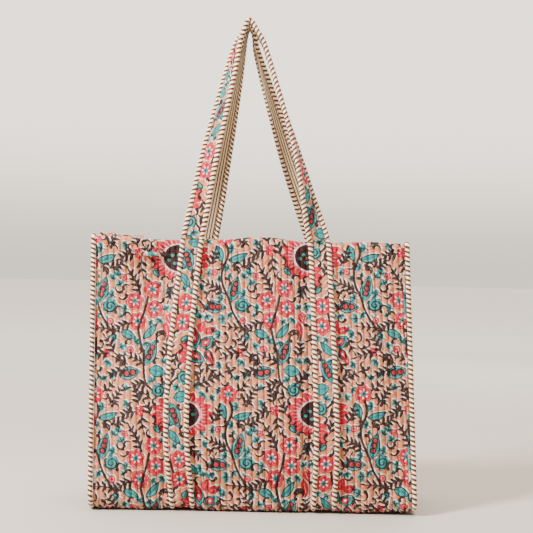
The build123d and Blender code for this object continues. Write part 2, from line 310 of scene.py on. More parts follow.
def curl_leaf(x, y, radius, turn=0.0):
    """A round teal leaf with brown curls spiralling in it."""
    u, v = around(x, y, turn)
    angle, reach = np.arctan2(v, u), np.hypot(u, v * 1.1)
    outlined("teal", reach - radius * (0.9 + 0.1 * np.cos(angle * 7)), 1.0)
    spiral = np.abs((reach / radius * 2.6 - angle / (2 * pi)) % 1.0 - 0.5) * radius / 2.6
    stamp("brown", np.maximum(spiral - 0.95, np.maximum(reach - radius * 0.8, radius * 0.12 - reach)))


def plain_leaf(x, y, half_long, half_wide, angle, bend):
    """A teal leaf with a brown edge and a vein with fine side veins."""
    u, v = around(x, y, angle)
    shape = leaf(u, v, half_long, half_wide, bend)
    outlined("teal", shape, 1.3)
    vein = np.abs((u + np.abs(v) * 0.9) % 3.0 - 1.5) - 0.25
    stamp("brown", np.maximum(vein, np.maximum(shape + half_wide * 0.5, v - bend)))
    spine = bend * (1 - np.clip(u / half_long, -1, 1) ** 2)
    stamp("brown", np.maximum(np.abs(v - spine) - 0.35, shape + 1))


def trefoil(x, y, radius, angle):
    """A small teal leaf of three lobes on a brown stalk."""
    for turn, size in ((-50, 0.8), (0, 1.0), (50, 0.8)):
        u, v = around(x, y, angle + turn)
        stamp("teal", leaf(u - radius * 0.5, v, radius * 0.66 * size, radius * 0.38))
        stamp("brown", leaf(u - radius * 0.45, v, radius * 0.46 * size, 0.9))
    stalk = (x - radius * 0.5 * cos(radians(angle)), y - radius * 0.5 * sin(radians(angle)))
    stamp("brown", stroke([(x, y), stalk], 0.6))


def fern(x0, y0, x1, y1, size=6.8):
    """A brown spray: a curved stem with leaflets in pairs that grow shorter towards its tip."""
    length = sqrt((x1 - x0) ** 2 + (y1 - y0) ** 2)
    ahead = ((x1 - x0) / length, (y1 - y0) / length)
    heading = atan2(ahead[1], ahead[0]) * 180 / pi
    pairs = max(2, round(length / LEAFLET_PITCH))
    bend = 8.0

    def spine(share):
        side = bend * share * (1 - share)
        run = length * share
        return x0 + ahead[0] * run - ahead[1] * side, y0 + ahead[1] * run + ahead[0] * side

    def leaflet(share, turn, half):
        u, v = around(*spine(share), heading + turn)
        stamp("brown", leaf(u - half * 0.95, v, half, 0.34 * half, turn * -0.02))

    stamp("brown", stroke([spine(share) for share in (0, 0.25, 0.5, 0.75, 1)], 1.1, 0.4))
    for i in range(pairs):
        share = 0.1 + 0.84 * i / pairs
        half = size * (1 - 0.35 * share)
        leaflet(share, -48, half)
        leaflet(share + 0.04, 48, half)
    leaflet(0.97, 0, size * 0.6)


def hook(x, y, radius, turn):
    """A brown comma with a round head."""
    angles = [radians(turn + a) for a in range(0, 151, 30)]
    arc = [(x + radius * cos(angle), y + radius * sin(angle)) for angle in angles]
    stamp("brown", stroke(arc, 2.0, 0.6))
    u, v = around(*arc[0])
    stamp("brown", np.hypot(u, v) - 2.6)


def blossom(x, y, radius, turn):
    """A small ragged coral flower."""
    u, v = around(x, y)
    stamp("coral", rosette(u, v, radius, 5, 0.42, turn))
    stamp("brown", np.hypot(u, v) - 0.8)
    for i in range(5):
        u, v = around(x, y, turn + 36 + i * 72)
        stamp("pale", leaf(u - radius * 0.45, v, radius * 0.22, 0.5))


def bloom(x, y):
    """The largest flower: a dark oval eye, a ring of fine pale rays and pointed coral petals."""
    petals, rays, tall = 16, 64, 1.38
    u, v = around(x, y)
    angle, reach = np.arctan2(v * tall, u), np.hypot(u, v * tall)
    petal = np.abs(((angle * petals / (2 * pi)) % 1.0) - 0.5) * 2
    tip = 46.5 - 8.5 * (1 - petal) ** 1.3
    stamp("coral", (reach - tip) * 0.8)
    ray = np.abs((angle * rays / (2 * pi)) % 1.0 - 0.5) * 2 * pi * reach / rays
    ray_tip = 34.0 + 5.0 * np.sin(angle * rays / 2)
    stamp("pale", np.maximum(np.maximum(ray - 1.15 + reach * 0.018, reach - ray_tip), 24.0 - reach))
    stamp("pale", np.abs(reach - 26.5) - 1.0)
    stamp("brown", oval(u, v, 24.5, 19.0))
    for dx, dy in ((8, -7), (1, 4), (11, 4), (-7, -5), (-9, 6), (-16, 0), (17, -2)):
        stamp("teal_over", oval(u + dx, v + dy, 3.2, 2.4))


def scroll(x, y, half_long, half_wide, angle):
    """A teal lobe rolled round a coral heart, in brown outlines."""
    u, v = around(x, y, angle)
    shape = leaf(u, v, half_long, half_wide, 1.5)
    outlined("teal", shape, 1.2)
    heart = leaf(u + half_long * 0.12, v - 0.6, half_long * 0.6, half_wide * 0.5)
    stamp("coral", heart)
    stamp("brown", np.abs(heart - 0.8) - 0.65)
    stamp("pale", oval(u + half_long * 0.12, v - 0.6, half_long * 0.2, half_wide * 0.16))


def draw_flowers():
    bloom(-105, 23)
    for x, y, turn in ((-146, 68, 0), (-172, 86, 12), (-143, 97, 25), (-167, 115, 8), (-38, -7, 20)):
        cluster_flower(x, y, turn)
    for place in ((-166, 19, 8.5, 0), (-17, 158, 7.5, 30), (-120, 108, 6.5, 15), (-188, 52, 6, 50)):
        blossom(*place)
    for place in ((-53, 42.5, 5.2, 180), (-12, 112, 5.4, 200), (-177, 157, 6, 190), (-88, 78, 5, 20)):
        bud(*place)
    for x, y, half_long, half_wide, angle in (
        (-72, 121, 10, 6.2, -60), (-60, 127, 10, 5.6, -15), (-124, 128, 14, 5.2, 80), (-121, 112, 9, 5, 65),
        (-84, 128, 9, 5, -110), (-58, 168, 10, 5.5, 60), (-92, 158, 9, 5, 150),
    ):
        u, v = around(x, y, angle)
        stamp("coral", leaf(u, v, half_long, half_wide))
        stamp("pale", np.maximum(np.abs(v) - 0.4, np.abs(u) - half_long * 0.5))


def draw_leaves():
    stems = (
        [(-36, 4), (-33, 19), (-42, 41), (-41.5, 60), (-33, 80), (-26.6, 100), (-17, 116), (-4, 133)],
        [(-166, 127), (-161, 151), (-157, 160), (-157, 173), (-154, 202), (-144, 213)],
        [(-153, 80), (-157, 98), (-161, 110), (-166, 127)],
        [(-164, 76), (-168, 62), (-181, 42)],
    )
    for points in stems:
        stamp("brown", stroke(rounded(points), 1.9, 0.2))
    for place in (
        (-46, 17.5, 13.8, 6.4, 72, 0), (-18, 22, 16, 6, -14, 2.5), (-180, 135, 13, 6.6, 24, 0),
        (-149, 129, 16, 5.8, -46, 1.5), (-136, 187, 13.5, 8.6, 15, 0), (-92, 100, 13, 6, 40, 0),
        (-141, 44, 8, 5, 60, 0),
    ):
        plain_leaf(*place)
    pod(-24, 66, 21.5, 9.8, -72, 3)
    pod(-147, 160, 21.5, 9.8, -66, 3)
    pod(-52, 93, 17.5, 10, 4, 2)
    pod(-177, 190, 18, 10.2, -8, 2)
    curl_leaf(-12.5, 90, 12.8)
    curl_leaf(-134, 214, 12, -40)
    for place in (
        (-39, 110, 10, 180), (-141, 41, 12, 0), (-125, 74, 9, -30), (-3, 46, 9, -70), (-56, 129, 9, -60),
        (-198, 141, 9, 200), (-190, 110, 6, 250), (-150, 116, 7, 30), (-48, 52, 6.5, 0), (-187, -10, 8, -80),
        (-33, 47, 6, 20), (-92, 183, 10, 120), (-114, 92, 9, 70), (-64, 0, 8, -30), (-64, 44, 7, 10),
        (-114, 196, 8, 250), (-5, 190, 9, 200), (-23, 197, 8, -70), (-50, 211, 8, 30), (-134, 62, 7, 200),
        (-118, 170, 8, 40), (-82, 208, 8, -20),
    ):
        trefoil(*place)
    for place in (
        (-82, 140, 16, 10, 85), (-65, 143, 13, 9, -35), (-79, 164.5, 14, 9, 30), (-61, 162, 10, 6.5, 60),
    ):
        scroll(*place)


def draw_sprays():
    for spray in (
        (-168, 10, -175, -13), (-150, 1.5, -170, -10), (-172, 20, -195, 28), (-151, 24, -159, 8),
        (-163, 26, -160, 48), (-164, 76, -182, 40), (-14, 36, 8, 26), (-84, 206, -38, 186),
        (-39, 74, -68, 57), (-176, 118, -200, 128), (2, 127, -38, 121), (-5, 158, -20, 134),
        (-14, 158, -42, 166), (-3, 158, 12, 176), (-112, 180, -98, 160), (-128, 168, -124, 144),
        (-90, 176, -106, 150), (-66, 174, -50, 190), (-184, 186, -212, 196), (-180, 178, -200, 168),
        (-110, 128, -94, 118), (-70, 100, -58, 80), (-132, 206, -114, 186), (-62, 34, -52, 12),
        (-96, 66, -76, 84), (-150, 204, -174, 210), (-112, 60, -122, 84),
    ):
        fern(*spray)
    for place in (
        (-57, 75, 6, 200), (-41, 137, 7.2, 300), (-132, 135, 6.6, 190), (-194, 100, 6, 150),
        (-62, 110, 5.4, 20), (-19, 36, 6, 200), (-118, 62, 6, 90), (-190, 78, 6, 0),
        (-82, 116, 5.4, 130), (-194, 68, 6, 60), (-104, 140, 6, 240), (-30, 178, 6, 20),
    ):
        hook(*place)


def fill_gaps():
    """Adds sprigs, leaves and dots wherever the ground between the motifs is still bare."""
    random = np.random.default_rng(11)
    for gap, kind in ((7.0, "spray"), (5.4, "leaf"), (3.9, "hook")):
        for _ in range(34):
            bare = np.minimum.reduce([ink["teal"], ink["coral"], ink["brown"]])
            row, column = np.unravel_index(np.argmax(bare + random.uniform(0, 0.5, bare.shape)), bare.shape)
            if bare[row, column] < gap:
                break
            x, y = off_tile(column * CELL, row * CELL)
            heading = random.uniform(0, 2 * pi)
            reach = bare[row, column] * 1.4
            if kind == "spray":
                dx, dy = reach * cos(heading), reach * sin(heading)
                fern(x - dx, y - dy, x + dx, y + dy, min(6.4, reach * 0.6))
            elif kind == "leaf":
                trefoil(x, y, reach, heading * 180 / pi)
            else:
                hook(x, y, reach * 0.72, heading * 180 / pi)


def finish_tile():
    """Puts inks that lie on top of others into the layers' printing order, and adds the unprinted halo."""
    ink["brown"] = np.maximum(ink["brown"], -ink["coral_top"])
    ink["brown"] = np.maximum(ink["brown"], -ink["teal_over"])
    ink["brown"] = np.minimum(ink["brown"], ink.pop("brown_top")) - INK_SPREAD
    ink["coral"] = np.minimum(ink["coral"], ink.pop("coral_top"))
    ink["teal_top"] = np.minimum(ink["teal_top"], ink.pop("teal_over"))
    every = np.minimum.reduce([ink["teal"], ink["coral"], ink["brown"]])
    right, down = (round(shift / CELL) for shift in HALO_SHIFT)
    ink["halo"] = np.roll(every, (down, right), axis=(0, 1)) - HALO_SPREAD
    for name in INKS:
        ink[name] = np.clip(ink[name], -INK_LIMIT, INK_LIMIT)


def ink_at(name, u, v):
    """One ink's distance at tile coordinates u and v, in mm."""
    tile = ink[name]
    rows, columns = tile.shape
    x, y = np.asarray(u) / CELL, np.asarray(v) / CELL
    x0, y0 = np.floor(x).astype(int), np.floor(y).astype(int)
    fx, fy = x - x0, y - y0
    x0, x1, y0, y1 = x0 % columns, (x0 + 1) % columns, y0 % rows, (y0 + 1) % rows
    top = tile[y0, x0] * (1 - fx) + tile[y0, x1] * fx
    low = tile[y1, x0] * (1 - fx) + tile[y1, x1] * fx
    return top * (1 - fy) + low * fy


# ---- Mesh building


def steps(start, end, step):
    """Evenly spaced values, with a number of spans that a coarser layer can share."""
    spans = max(COARSE, int(round((end - start) / step / COARSE)) * COARSE)
    return np.linspace(start, end, spans + 1)


def add_mesh(name, points, faces, cloth, material):
    """A smooth mesh with the cloth's flat coordinates, in mm, at each face corner."""
    mesh = bpy.data.meshes.new(name)
    mesh.from_pydata(points.tolist(), [], faces)
    mesh.polygons.foreach_set("use_smooth", np.ones(len(mesh.polygons), bool))
    layer = mesh.uv_layers.new(name="cloth")
    layer.data.foreach_set("uv", cloth.astype(np.float32).ravel())
    mesh.materials.append(material)
    mesh.update()
    piece = bpy.data.objects.new(name, mesh)
    bpy.context.scene.collection.objects.link(piece)
    return piece


def add_inks(piece, u, v):
    """Stores the print's distances on a piece, for tile coordinates given at each of its points."""
    for attribute, names in (("ink_low", INKS[:3]), ("ink_high", INKS[3:])):
        data = piece.data.attributes.new(attribute, "FLOAT_VECTOR", "POINT")
        values = np.stack([ink_at(name, u, v) for name in names], axis=1)
        data.data.foreach_set("vector", values.astype(np.float32).ravel())


def quads(rows, columns, first, flip):
    """The faces of a grid of points, the first of which has index first."""
    corner = first + np.arange(rows - 1)[:, None] * columns + np.arange(columns - 1)[None, :]
    corner = corner.ravel()
    order = [corner, corner + 1, corner + columns + 1, corner + columns]
    if flip:
        order.reverse()
    return np.stack(order, axis=1)


def edge_loop(rows, columns):
    """Indices of a grid's border, once round."""
    top = [(0, j) for j in range(columns - 1)]
    right = [(i, columns - 1) for i in range(rows - 1)]
    bottom = [(rows - 1, j) for j in range(columns - 1, 0, -1)]
    left = [(i, 0) for i in range(rows - 1, 0, -1)]
    return [i * columns + j for i, j in top + right + bottom + left]


def shell(name, outer, inner, u, v, material, flip=False):
    """A closed layer of cloth: a fine outer grid and a coarser inner one, joined round their borders."""
    rows, columns = outer.shape[:2]
    inside = inner[::COARSE, ::COARSE]
    sub_rows, sub_columns = inside.shape[:2]
    points = np.concatenate([outer.reshape(-1, 3), inside.reshape(-1, 3)])
    flat_u, flat_v = [np.concatenate([flat.ravel(), flat[::COARSE, ::COARSE].ravel()]) for flat in (u, v)]
    first = rows * columns
    faces = quads(rows, columns, 0, flip).tolist() + quads(sub_rows, sub_columns, first, not flip).tolist()
    fine, sub = edge_loop(rows, columns), edge_loop(sub_rows, sub_columns)
    for i in range(len(sub)):
        rim = [fine[(i * COARSE + k) % len(fine)] for k in range(COARSE + 1)]
        face = rim[::-1] + [first + sub[i], first + sub[(i + 1) % len(sub)]]
        faces.append(face[::-1] if flip else face)
    corners = np.concatenate([np.asarray(face) for face in faces])
    piece = add_mesh(name, points, faces, np.stack([flat_u[corners], flat_v[corners]], axis=1), material)
    return piece, flat_u, flat_v


def printed_shell(name, outer, inner, u, v, material, flip=False):
    piece, flat_u, flat_v = shell(name, outer, inner, u, v, material, flip)
    add_inks(piece, *on_tile(flat_u, flat_v))
    return piece


def tube(name, centre, across, out, half_wide, half_high, lengths, material):
    """A piping along centre with rounded ends; across and out are its section's axes at each point.

    Its half width is one number or one for each point, and lengths are the points' places along it in mm."""
    half_wide = half_wide + 0 * lengths
    turn = 2 * pi * (np.arange(TUBE_SIDES) + 0.5) / TUBE_SIDES
    rows = len(centre)
    bulge = 1 + 0.05 * np.cos(2 * pi * lengths / STRIPE_PITCH)
    ends = np.minimum(np.arange(rows), np.arange(rows)[::-1])
    cap = np.sqrt(np.clip(1 - (1 - np.clip(ends / 3, 0, 1)) ** 2, 0.04, 1))
    size = (bulge * cap)[:, None, None]
    ring = centre[:, None, :] + size * (
        (across * half_wide[:, None])[:, None, :] * np.cos(turn)[None, :, None]
        + out[:, None, :] * (half_high * np.sin(turn))[None, :, None]
    )
    girth = pi * (half_wide.mean() + half_high) / MM
    i, j = np.meshgrid(np.arange(rows - 1), np.arange(TUBE_SIDES), indexing="ij")
    i, j = i.ravel(), j.ravel()
    here, ahead, after = i * TUBE_SIDES, (i + 1) * TUBE_SIDES, (j + 1) % TUBE_SIDES
    faces = np.stack([here + j, here + after, ahead + after, ahead + j], axis=1)
    around_u = np.stack([j, j + 1, j + 1, j], axis=1) * girth / TUBE_SIDES
    along_v = lengths[np.stack([i, i, i + 1, i + 1], axis=1)]
    cloth = np.stack([around_u, along_v], axis=2).reshape(-1, 2)
    caps = [list(range(TUBE_SIDES))[::-1], [(rows - 1) * TUBE_SIDES + n for n in range(TUBE_SIDES)]]
    cap_cloth = np.array([[0.0, lengths[0]]] * TUBE_SIDES + [[0.0, lengths[-1]]] * TUBE_SIDES)
    cloth = np.concatenate([cloth, cap_cloth])
    return add_mesh(name, ring.reshape(-1, 3), faces.tolist() + caps, cloth, material)


# ---- Materials


def attach(tree, socket, value):
    if isinstance(value, bpy.types.NodeSocket):
        tree.links.new(value, socket)
    else:
        socket.default_value = value


def calculate(tree, operation, first, second=0.0, third=0.0):
    node = tree.nodes.new("ShaderNodeMath")
    node.operation = operation
    for socket, value in zip(node.inputs, (first, second, third)):
        attach(tree, socket, value)
    return node.outputs[0]


def blend_colour(tree, share, low, high, mode="MIX"):
    node = tree.nodes.new("ShaderNodeMix")
    node.data_type = "RGBA"
    node.blend_type = mode
    attach(tree, node.inputs[0], share)
    attach(tree, node.inputs[6], low)
    attach(tree, node.inputs[7], high)
    return node.outputs[2]


def between(tree, value, low, high):
    """0 where value is at low, 1 where it is at high, and smooth between."""
    node = tree.nodes.new("ShaderNodeMapRange")
    node.interpolation_type = "SMOOTHSTEP"
    for socket, setting in zip(node.inputs, (value, low, high, 0.0, 1.0)):
        attach(tree, socket, setting)
    return node.outputs[0]


def noise(tree, where, scale, detail=2):
    node = tree.nodes.new("ShaderNodeTexNoise")
    attach(tree, node.inputs["Vector"], where)
    node.inputs["Scale"].default_value = scale
    node.inputs["Detail"].default_value = detail
    return node.outputs[0]


def cloth_position(tree):
    """The cloth's flat coordinates in mm, whole and apart."""
    node = tree.nodes.new("ShaderNodeUVMap")
    node.uv_map = "cloth"
    apart = tree.nodes.new("ShaderNodeSeparateXYZ")
    tree.links.new(node.outputs[0], apart.inputs[0])
    return node.outputs[0], apart.outputs[0], apart.outputs[1]


def weave(tree, u, v, threads):
    """Height of a plain weave: warp and weft cross over and under, threads to the millimetre."""
    turns = [calculate(tree, "MULTIPLY", way, 2 * pi * threads) for way in (u, v)]
    warp, weft = [calculate(tree, "SINE", turn) for turn in turns]
    return calculate(tree, "MULTIPLY", warp, weft)


def off_middle(tree, value, pitch):
    """How far value is from the middle of its repeat: 0 in the middle, 0.5 where two repeats meet."""
    phase = calculate(tree, "FRACT", calculate(tree, "DIVIDE", value, pitch))
    return calculate(tree, "ABSOLUTE", calculate(tree, "SUBTRACT", phase, 0.5))


def slanted(tree, u, v, slope):
    """Places along the cloth, for stripes that cross it aslant."""
    return calculate(tree, "SUBTRACT", v, calculate(tree, "MULTIPLY", u, slope))


def fabric(name):
    """A new cotton material: its node tree and its shader."""
    material = bpy.data.materials.new(name)
    material.use_nodes = True
    tree = material.node_tree
    shader = tree.nodes["Principled BSDF"]
    shader.inputs["Roughness"].default_value = 0.9
    shader.inputs["Specular IOR Level"].default_value = 0.12
    shader.inputs["Sheen Weight"].default_value = 0.08
    shader.inputs["Sheen Roughness"].default_value = 0.6
    return material, tree, shader


def add_weave(tree, shader, u, v, grain, depth, threads=1.1):
    """Gives a material the relief of its threads and of an uneven grain."""
    node = tree.nodes.new("ShaderNodeBump")
    node.inputs["Strength"].default_value = 0.6
    node.inputs["Distance"].default_value = depth
    attach(tree, node.inputs["Height"], calculate(tree, "ADD", weave(tree, u, v, threads), grain))
    tree.links.new(node.outputs[0], shader.inputs["Normal"])


def srgb(red, green, blue):
    """A linear colour from 8-bit sRGB values."""
    shares = [value / 255 for value in (red, green, blue)]
    return (*[share / 12.92 if share <= 0.04 else ((share + 0.055) / 1.055) ** 2.4 for share in shares], 1.0)


def stored_inks(tree):
    """Each ink's distance to its outline, as add_inks stored it."""
    distances = {}
    for attribute, names in (("ink_low", INKS[:3]), ("ink_high", INKS[3:])):
        source = tree.nodes.new("ShaderNodeAttribute")
        source.attribute_name = attribute
        parts = tree.nodes.new("ShaderNodeSeparateXYZ")
        tree.links.new(source.outputs["Vector"], parts.inputs[0])
        distances.update(zip(names, parts.outputs))
    return distances


def print_material():
    """Block-printed cotton: peach ground, ragged inks with uneven cover, and painted shade darkening it along
    the quilting rows.
    """
    material, tree, shader = fabric("block_print_cotton")
    where, u, v = cloth_position(tree)
    ragged = calculate(tree, "MULTIPLY", calculate(tree, "SUBTRACT", noise(tree, where, 0.9, 3), 0.5), 1.1)
    speckle = noise(tree, where, 1.6)
    colour = blend_colour(tree, noise(tree, where, 0.05, 3), srgb(190, 112, 76), srgb(228, 154, 114))
    tones = {
        "halo": (srgb(255, 244, 238), srgb(246, 216, 200)),
        "teal": (srgb(0, 108, 116), srgb(48, 170, 166)),
        "coral": (srgb(158, 2, 30), srgb(214, 26, 54)),
        "pale": (srgb(250, 232, 228), srgb(238, 176, 178)),
        "teal_top": (srgb(0, 96, 106), srgb(40, 158, 156)),
        "brown": (srgb(22, 10, 9), srgb(56, 30, 26)),
    }
    for name, distance in stored_inks(tree).items():
        cover = between(tree, calculate(tree, "ADD", distance, ragged), 0.35, -0.35)
        cover = calculate(tree, "MULTIPLY", cover, between(tree, speckle, 0.18, 0.42))
        colour = blend_colour(tree, cover, colour, blend_colour(tree, speckle, *tones[name]))
    # Painted shade: the colour is darkened along each row of quilting stitches, standing in for the shade in
    # the quilted channels.
    row = calculate(tree, "SUBTRACT", 0.5, off_middle(tree, u, RIB_PITCH / MM))
    painted_groove_shade = calculate(tree, "MULTIPLY", between(tree, row, 0.16, 0.0), 0.45)
    colour = blend_colour(tree, painted_groove_shade, colour, srgb(120, 62, 44), "MULTIPLY")
    grain = calculate(tree, "MULTIPLY", between(tree, speckle, 0.4, 0.7), 0.36)
    colour = blend_colour(tree, grain, colour, srgb(150, 96, 76), "MULTIPLY")
    tree.links.new(colour, shader.inputs["Base Color"])
    add_weave(tree, shader, u, v, calculate(tree, "MULTIPLY", speckle, 2.0), 0.12 * MM)
    return material


def stripe_material():
    """Bias-cut striped cotton over the piping cord."""
    material, tree, shader = fabric("piping_stripe")
    where, u, v = cloth_position(tree)
    wobble = calculate(tree, "MULTIPLY", noise(tree, where, 0.12), 1.6)
    place = calculate(tree, "ADD", slanted(tree, u, v, STRIPE_SLOPE), wobble)
    stripe = between(tree, off_middle(tree, place, STRIPE_PITCH), 0.31, 0.22)
    speckle = noise(tree, where, 1.8)
    cream = blend_colour(tree, speckle, srgb(246, 232, 200), srgb(255, 248, 230))
    brown = blend_colour(tree, speckle, srgb(84, 40, 14), srgb(116, 60, 26))
    tree.links.new(blend_colour(tree, stripe, cream, brown), shader.inputs["Base Color"])
    add_weave(tree, shader, u, v, speckle, 0.1 * MM)
    return material


def strap_lining_material():
    """Cream cotton with brown stripes along the strap, and the piping's striped turnings at both edges."""
    material, tree, shader = fabric("strap_lining")
    where, u, v = cloth_position(tree)
    speckle = noise(tree, where, 1.8)
    cream = blend_colour(tree, speckle, srgb(200, 178, 144), srgb(224, 206, 174))
    brown = blend_colour(tree, speckle, srgb(70, 32, 12), srgb(104, 54, 24))
    lines = between(tree, off_middle(tree, u, 4.6), 0.24, 0.16)
    dashes = between(tree, off_middle(tree, slanted(tree, u, v, 0.55), STRIPE_PITCH), 0.26, 0.18)
    from_middle = calculate(tree, "ABSOLUTE", u)
    turning = between(tree, from_middle, STRAP_LINING_HALF - 5.2, STRAP_LINING_HALF - 4.9)
    inner = calculate(tree, "MULTIPLY", lines, calculate(tree, "SUBTRACT", 1.0, turning))
    pattern = calculate(tree, "MULTIPLY_ADD", dashes, turning, inner)
    tree.links.new(blend_colour(tree, pattern, cream, brown), shader.inputs["Base Color"])
    add_weave(tree, shader, u, v, speckle, 0.1 * MM)
    return material


def bag_lining_material():
    """Cream cotton with thin brown pinstripes."""
    material, tree, shader = fabric("bag_lining")
    where, u, v = cloth_position(tree)
    speckle = noise(tree, where, 1.2)
    cream = blend_colour(tree, speckle, srgb(214, 198, 172), srgb(236, 224, 202))
    lines = between(tree, off_middle(tree, u, 6.8), 0.14, 0.08)
    tree.links.new(blend_colour(tree, lines, cream, srgb(146, 96, 58)), shader.inputs["Base Color"])
    add_weave(tree, shader, u, v, speckle, 0.12 * MM, threads=1.0)
    return material


# ---- The bag's own shape

DOWN = np.array([-sin(LEAN), -cos(LEAN)])  # down the front, as (y, z)
OUT = np.array([-cos(LEAN), sin(LEAN)])
CORNER_TURN = pi / 2 + LEAN
FACE_TOP = np.array([-MOUTH_HALF_DEPTH, MOUTH_LEVEL - RIM_RADIUS])
STRAIGHT = (MOUTH_LEVEL - RIM_RADIUS - BASE_LEVEL) / cos(LEAN) - CORNER_RADIUS * tan(CORNER_TURN / 2)
ARC_END = STRAIGHT + CORNER_RADIUS * CORNER_TURN
ARC_CENTRE = FACE_TOP + DOWN * STRAIGHT - OUT * CORNER_RADIUS
HALF_RUN = ARC_END - ARC_CENTRE[0]  # from the mouth, down the front and along to the middle of the base
RIM_RUN = pi * RIM_RADIUS
LINING_REACH = BASE_HALF_LENGTH - 5 * MM
LINING_RUN = HALF_RUN - 14 * MM


def profile(s):
    """(y, z) of the front's outer face and its outward normal, at a distance s down the cloth from the mouth.

    Below 0 the cloth turns over the rim and runs down inside."""
    s = np.asarray(s, float)[..., None]
    point, normal = FACE_TOP + DOWN * s, OUT + 0 * s
    turn = (s - STRAIGHT) / CORNER_RADIUS
    arc = np.concatenate([-np.cos(LEAN - turn), np.sin(LEAN - turn)], axis=-1)
    on_arc = (s > STRAIGHT) & (s <= ARC_END)
    point, normal = np.where(on_arc, ARC_CENTRE + arc * CORNER_RADIUS, point), np.where(on_arc, arc, normal)
    base = np.concatenate([ARC_CENTRE[0] + (s - ARC_END), BASE_LEVEL + 0 * s], axis=-1)
    point, normal = np.where(s > ARC_END, base, point), np.where(s > ARC_END, np.array([0.0, -1.0]), normal)
    over = np.clip(-s / RIM_RADIUS, 0, pi)
    rim = np.concatenate([-np.cos(LEAN + over), np.sin(LEAN + over)], axis=-1)
    turned = FACE_TOP - OUT * RIM_RADIUS + rim * RIM_RADIUS
    inside = turned + DOWN * np.clip(-s - RIM_RUN, 0, None)
    point, normal = np.where(s < 0, inside, point), np.where(s < 0, rim, normal)
    return point, normal


def half_length(z):
    return MOUTH_HALF_LENGTH + BASE_FLARE * (MOUTH_LEVEL - z) / MOUTH_LEVEL


def lean_left(z):
    """How far the hanging bag and its handles lean to the left at a level."""
    low = LEAN_LEFT_MOUTH * np.clip(z / MOUTH_LEVEL, 0, 1)
    high = (LEAN_LEFT_APEX - LEAN_LEFT_MOUTH) * np.clip((z - MOUTH_LEVEL) / (APEX_LEVEL - MOUTH_LEVEL), 0, 1)
    return low + high


def smooth(value, low, high):
    """0 below low, 1 above high, and smooth between."""
    t = np.clip((value - low) / (high - low), 0, 1)
    return t * t * (3 - 2 * t)


def bell(value, middle, width):
    """1 at the middle, falling smoothly to nothing about two widths either side."""
    return np.exp(-(((value - middle) / width) ** 2))


def ripple(x, z, seed):
    """A repeatable soft noise: a few crossed waves of random direction, about -1 to 1."""
    random = np.random.default_rng(seed)
    total = 0
    for _ in range(7):
        turn, phase = random.uniform(0, 2 * pi, 2)
        total = total + np.sin((x * cos(turn) + z * sin(turn)) * random.uniform(0.6, 1.5) * 2 * pi + phase)
    return total / 4


def quilting(across, along, seed, height=RIB_HEIGHT):
    """Height of the quilted face: ribs between rows of running stitch, puckered along each row."""
    row = across / RIB_PITCH
    share = row - np.floor(row)
    puff = np.clip(4 * share * (1 - share), 0, 1) ** 0.62
    lumps = ripple(across / (13 * MM), along / (6 * MM), seed)
    lumps = lumps + 0.8 * ripple(across / (7 * MM), along / (3.2 * MM), seed + 1)
    stitch = np.cos(2 * pi * along / STITCH_PITCH + np.floor(row + 0.5) * 1.9)
    near_row = bell(np.minimum(share, 1 - share), 0, 0.13)
    return height * puff + PUCKER * lumps * (0.35 + 0.65 * puff) - STITCH_DEPTH * (1 + stitch) * near_row


def sag(x, s, side):
    """How far a long panel stands out of its plane: a low belly and soft upright folds, less its hollows."""
    down = np.clip(s / STRAIGHT, 0, 1.15)
    belly = BELLY * np.sin(pi * np.clip(down, 0, 1) ** BELLY_LOW)
    belly = belly * np.clip(1 - (x / BASE_HALF_LENGTH) ** 4, 0, 1)
    folds = ripple(x / FOLD_SIZE[0], s / FOLD_SIZE[1], 40 if side < 0 else 60)
    folds = FOLD_DEPTH * folds * (1 - 0.35 * down)
    hollow = TUCK * smooth(s, STRAIGHT - 42 * MM, STRAIGHT + 12 * MM)
    if side < 0:
        reach = np.where(x < HOLLOW_X, *HOLLOW_REACH)
        hollow = hollow + HOLLOW_DEPTH * bell(x, HOLLOW_X, reach) * (1 - smooth(down, 0.2, 0.6))
    for strap in (-1, 1):
        for off, depth, width in STRAP_DIPS[strap]:
            hollow = hollow + depth * MM * bell(x - strap_x(s, side, strap), off * MM, width * MM)
    free = 1 - smooth(s, STRAIGHT - 6 * MM, ARC_END)
    seam = smooth(np.abs(x), BASE_HALF_LENGTH - 60 * MM, BASE_HALF_LENGTH - 8 * MM)
    hem = smooth(s, -2 * MM, 40 * MM)
    lift = belly * hem + folds * (0.4 + 0.6 * hem) - hollow * hem
    return (lift * (1 - seam) - SEAM_TUCK * seam * hem) * free


def mouth_wave(x, side):
    """How much higher the hanging mouth stands between the straps and at its ends than at the straps."""
    if side > 0:
        return 14.5 * MM * bell(x, -216 * MM, 26 * MM) - 2.0 * MM
    middle = 6.0 * MM * bell(x, 18 * MM, 42 * MM)
    left_end = 3.8 * MM * smooth(-x, 120 * MM, 225 * MM)
    right_end = 1.6 * MM * bell(x, 175 * MM, 34 * MM)
    dips = 1.8 * MM * sum(bell(x, strap_x(0.0, side, strap), 24 * MM) for strap in (-1, 1))
    return 1.8 * MM + middle + left_end + right_end - dips


def settle(x, z, side):
    """How far the hanging cloth stands above its level in the model: up at the mouth, down along the base."""
    at_mouth = smooth(z, MOUTH_LEVEL - 60 * MM, MOUTH_LEVEL)
    at_base = 1 - smooth(z, BASE_LEVEL, BASE_LEVEL + 60 * MM)
    held = sum(bell(x, STRAP_PLACES[side, strap][2] * MM, 22 * MM) for strap in (-1, 1))
    drop, right_drop = BASE_DROP
    drop = drop - (drop - right_drop) * smooth(x, 120 * MM, 230 * MM)
    return mouth_wave(x, side) * at_mouth - drop * np.clip(1 - held, 0, 1) * at_base


